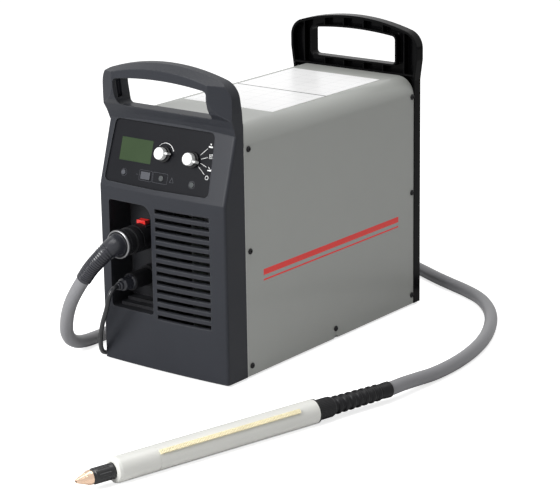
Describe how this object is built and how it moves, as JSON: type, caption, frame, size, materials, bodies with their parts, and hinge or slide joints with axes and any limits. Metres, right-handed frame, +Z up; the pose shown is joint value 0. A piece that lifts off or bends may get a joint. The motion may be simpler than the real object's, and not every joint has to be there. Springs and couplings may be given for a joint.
{
  "type": "plasma cutter unit",
  "caption": "Air plasma cutting power supply with carry handles, control panel, connector recess, straight machine torch on its lead, and a work lead with a spring clamp.",
  "frame": {"origin": "on the floor under the middle of the casing, 3.5 mm below the middle of the base pan's underside", "axes": "+Z up, the front faces -Y, +X is to the right of someone facing the front"},
  "size_m": [0.536, 1.0727, 0.4559],
  "materials": {
    "charcoal_plastic": "fine moulded texture, satin",
    "black_gloss_plastic": "semi-gloss moulded",
    "silver_paint": "light metallic powder coat",
    "zinc_sheet": "plated sheet",
    "foot_rubber": "matt",
    "black_screw": "black oxide",
    "white_label": "plain white film with a faint ruled grid",
    "recess_plastic": "moulded, matt",
    "socket_plastic": "moulded, satin",
    "red_button": "gloss",
    "spring_steel": "bright",
    "collar_metal": "dark anodised, bright worn rim",
    "boot_rubber": "smooth rubber",
    "overlay_film": "printed polyester film",
    "display_glass": "unlit display behind a clear lens",
    "board_green": "circuit board",
    "knob_white": "gloss white",
    "key_grey": "satin key",
    "lamp_lens": "frosted lens",
    "sleeve_white": "satin white tube",
    "rack_brass": "bright toothed strip",
    "cap_black": "heat-resistant moulding",
    "copper": "bare machined copper",
    "lead_grey": "smooth jacket",
    "cable_black": "smooth jacket",
    "tie_fabric": "hook and loop tape",
    "clamp_steel": "zinc-plated pressed steel",
    "bare_aluminium": "extruded",
    "capacitor_sleeve": "shrink sleeve",
    "ferrite": "sintered core",
    "winding_copper": "lacquered winding",
    "gland_plastic": "moulded",
    "filter_grey": "painted filter head and bowl guard",
    "cast_valve": "cast block"
  },
  "bodies": {
    "unit": {"front_bezel": "charcoal_plastic", "rear_panel": "black_gloss_plastic", "cover": "silver_paint", "base_pan": "zinc_sheet", "feet": "foot_rubber", "cover_screws": "black_screw", "top_labels": "white_label", "connector_tub": "recess_plastic", "torch_socket": "socket_plastic", "release_spring": "spring_steel", "torch_plug": "socket_plastic", "plug_collar": "collar_metal", "torch_boot": "boot_rubber", "work_socket": "socket_plastic", "work_plug": "socket_plastic", "work_boot": "boot_rubber", "panel_overlay": "overlay_film", "display_lens": "display_glass", "display_module": "board_green", "control_board": "board_green", "adjust_encoder": "socket_plastic", "mode_switch": "socket_plastic", "panel_lamps": "lamp_lens", "torch_sleeve": "sleeve_white", "torch_rack": "rack_brass", "torch_core": "socket_plastic", "retaining_cap": "cap_black", "torch_shield": "copper", "torch_nozzle": "copper", "torch_electrode": "copper", "torch_strain_relief": "boot_rubber", "torch_lead": "lead_grey", "work_cable": "cable_black", "work_cable_coil": "cable_black", "work_cable_tail": "cable_black", "coil_tie": "tie_fabric", "clamp_fixed_jaw": "clamp_steel", "clamp_pin": "spring_steel", "clamp_spring": "spring_steel", "divider_panel": "zinc_sheet", "heatsink": "bare_aluminium", "power_board": "board_green", "bus_capacitors": "capacitor_sleeve", "transformer": "ferrite", "output_inductor": "winding_copper", "fan_frame": "socket_plastic", "power_switch_body": "socket_plastic", "mains_gland": "gland_plastic", "air_filter": "filter_grey", "air_valve": "cast_valve"},
    "release_button": {"release_button": "red_button"},
    "adjust_knob": {"adjust_knob": "knob_white", "adjust_shaft": "spring_steel"},
    "mode_knob": {"mode_knob": "knob_white", "mode_shaft": "spring_steel"},
    "pressure_button": {"pressure_button": "key_grey"},
    "selector_button": {"selector_button": "key_grey"},
    "fan_rotor": {"fan_rotor": "socket_plastic"},
    "power_switch_knob": {"power_switch_knob": "red_button"},
    "clamp_moving_jaw": {"clamp_moving_jaw": "clamp_steel"}
  },
  "joints": [
    {"name": "release_button_press", "type": "slide", "parent": "unit", "child": "release_button", "axis": [0, 0, -1], "range_m": [0, 0.003], "stiffness_N_per_m": 900, "springref_m": -0.001, "deforming": ["release_spring"]},
    {"name": "adjust_knob_turn", "type": "hinge", "parent": "unit", "child": "adjust_knob", "pos_m": [-0.0052, -0.22956, 0.32482], "axis": [0, -0.9579, 0.287], "continuous": true},
    {"name": "mode_knob_turn", "type": "hinge", "parent": "unit", "child": "mode_knob", "pos_m": [0.0472, -0.22985, 0.32386], "axis": [0, -0.9579, 0.287], "range_deg": [-24, 48]},
    {"name": "pressure_button_press", "type": "slide", "parent": "unit", "child": "pressure_button", "axis": [0, 0.9579, -0.287], "range_m": [0, 0.0008], "stiffness_N_per_m": 900, "springref_m": -0.0004},
    {"name": "selector_button_press", "type": "slide", "parent": "unit", "child": "selector_button", "axis": [0, 0.9579, -0.287], "range_m": [0, 0.0008], "stiffness_N_per_m": 900, "springref_m": -0.0004},
    {"name": "fan_spin", "type": "hinge", "parent": "unit", "child": "fan_rotor", "pos_m": [0.012, 0.22, 0.205], "axis": [0, 1, 0], "continuous": true},
    {"name": "power_switch_turn", "type": "hinge", "parent": "unit", "child": "power_switch_knob", "pos_m": [0.072, 0.2465, 0.322], "axis": [0, 1, 0], "range_deg": [0, 90]},
    {"name": "clamp_jaw_open", "type": "hinge", "parent": "unit", "child": "clamp_moving_jaw", "pos_m": [-0.02, 0.316, 0.0428], "axis": [0, 0, -1], "range_deg": [0, 28], "stiffness_Nm_per_rad": 1.2, "springref_deg": -17.19}
  ]
}
